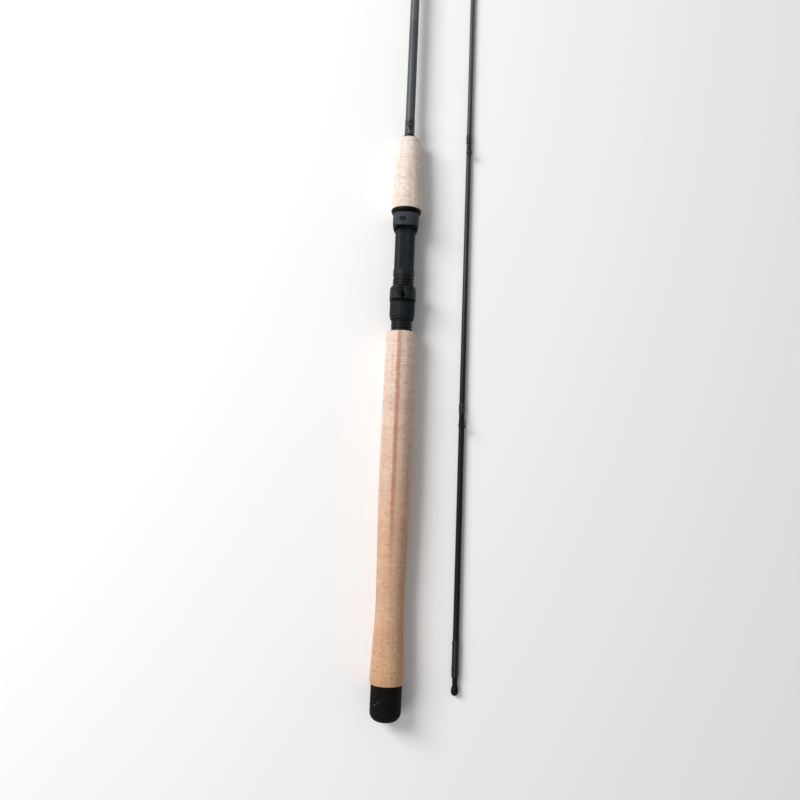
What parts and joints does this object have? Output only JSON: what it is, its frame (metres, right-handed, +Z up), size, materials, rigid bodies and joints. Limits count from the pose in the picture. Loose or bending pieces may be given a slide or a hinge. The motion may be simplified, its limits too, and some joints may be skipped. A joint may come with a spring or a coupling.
{
  "type": "spinning rod",
  "caption": "Two-piece spinning rod with a cork handle and pipe reel seat, its tip section lying beside the butt section.",
  "frame": {"origin": "centre of the whole lying rod's box, on the surface it lies on", "axes": "+Y along the butt section towards its tip end, +Z up through the reel side and the guides, +X towards the tip section"},
  "size_m": [0.08, 1.427, 0.0473],
  "materials": {
    "cork": "sanded natural cork, matt",
    "rubber": "black rubber and cork composite, matt",
    "graphite": "clear-coated graphite",
    "seat_plastic": "moulded black, satin",
    "hood_plastic": "moulded black, satin",
    "collar_plastic": "black, half gloss",
    "wrap_thread": "black thread under clear epoxy",
    "guide_steel": "black coated steel",
    "guide_ceramic": "polished black ceramic",
    "foam": "foam arbor, matt"
  },
  "bodies": {
    "butt_section": {"butt_cap": "rubber", "rear_grip": "cork", "seat_body": "seat_plastic", "seat_arbor_rear": "foam", "seat_arbor_front": "foam", "fixed_hood": "hood_plastic", "collar_ring": "collar_plastic", "foregrip": "cork", "winding_check": "collar_plastic", "butt_blank": "graphite", "spigot": "graphite", "butt_end_wrap": "wrap_thread", "keeper_foot": "guide_steel", "keeper_wrap": "wrap_thread", "stripper_frame": "guide_steel", "stripper_ring": "guide_ceramic", "stripper_wrap_front": "wrap_thread", "stripper_wrap_rear": "wrap_thread", "second_guide_frame": "guide_steel", "second_guide_ring": "guide_ceramic", "second_guide_wrap_front": "wrap_thread", "second_guide_wrap_rear": "wrap_thread"},
    "moving_hood": {"moving_hood": "hood_plastic"},
    "lock_nut": {"lock_nut": "seat_plastic"},
    "keeper_ring": {"keeper_ring": "guide_steel"},
    "tip_section": {"tip_blank": "graphite", "ferrule_socket": "graphite", "socket_wrap": "wrap_thread", "running_guide_1_frame": "guide_steel", "running_guide_1_ring": "guide_ceramic", "running_guide_1_wrap": "wrap_thread", "running_guide_2_frame": "guide_steel", "running_guide_2_ring": "guide_ceramic", "running_guide_2_wrap": "wrap_thread", "running_guide_3_frame": "guide_steel", "running_guide_3_ring": "guide_ceramic", "running_guide_3_wrap": "wrap_thread", "running_guide_4_frame": "guide_steel", "running_guide_4_ring": "guide_ceramic", "running_guide_4_wrap": "wrap_thread", "running_guide_5_frame": "guide_steel", "running_guide_5_ring": "guide_ceramic", "running_guide_5_wrap": "wrap_thread", "running_guide_6_frame": "guide_steel", "running_guide_6_ring": "guide_ceramic", "running_guide_6_wrap": "wrap_thread", "tip_top_frame": "guide_steel", "tip_top_ring": "guide_ceramic", "tip_top_wrap": "wrap_thread"},
    "ferrule_plug": {"ferrule_plug": "rubber"}
  },
  "joints": [
    {"name": "moving_hood_slide", "type": "slide", "parent": "butt_section", "child": "moving_hood", "axis": [0, 1, -0.0032], "range_m": [-0.0075, 0.018]},
    {"name": "lock_nut_spin", "type": "hinge", "parent": "moving_hood", "child": "lock_nut", "pos_m": [-0.02471, -0.34549, 0.01425], "axis": [0, 1, -0.0032], "range_deg": [-964, 2314]},
    {"name": "keeper_ring_swing", "type": "hinge", "parent": "butt_section", "child": "keeper_ring", "pos_m": [-0.02471, -0.17187, 0.01983], "axis": [1, 0, 0], "range_deg": [0, 165]},
    {"name": "tip_section_slide", "type": "slide", "parent": "butt_section", "child": "tip_section", "axis": [-0.0089, 1, -0.0013], "range_m": [0, 1.336]},
    {"name": "ferrule_plug_pull", "type": "slide", "parent": "tip_section", "child": "ferrule_plug", "axis": [0.0089, -1, 0.0013], "range_m": [0, 0.03]}
  ],
  "couplings": [
    {"joint": "moving_hood_slide", "follows": "lock_nut_spin", "m_per_rad": 0.00044563}
  ]
}
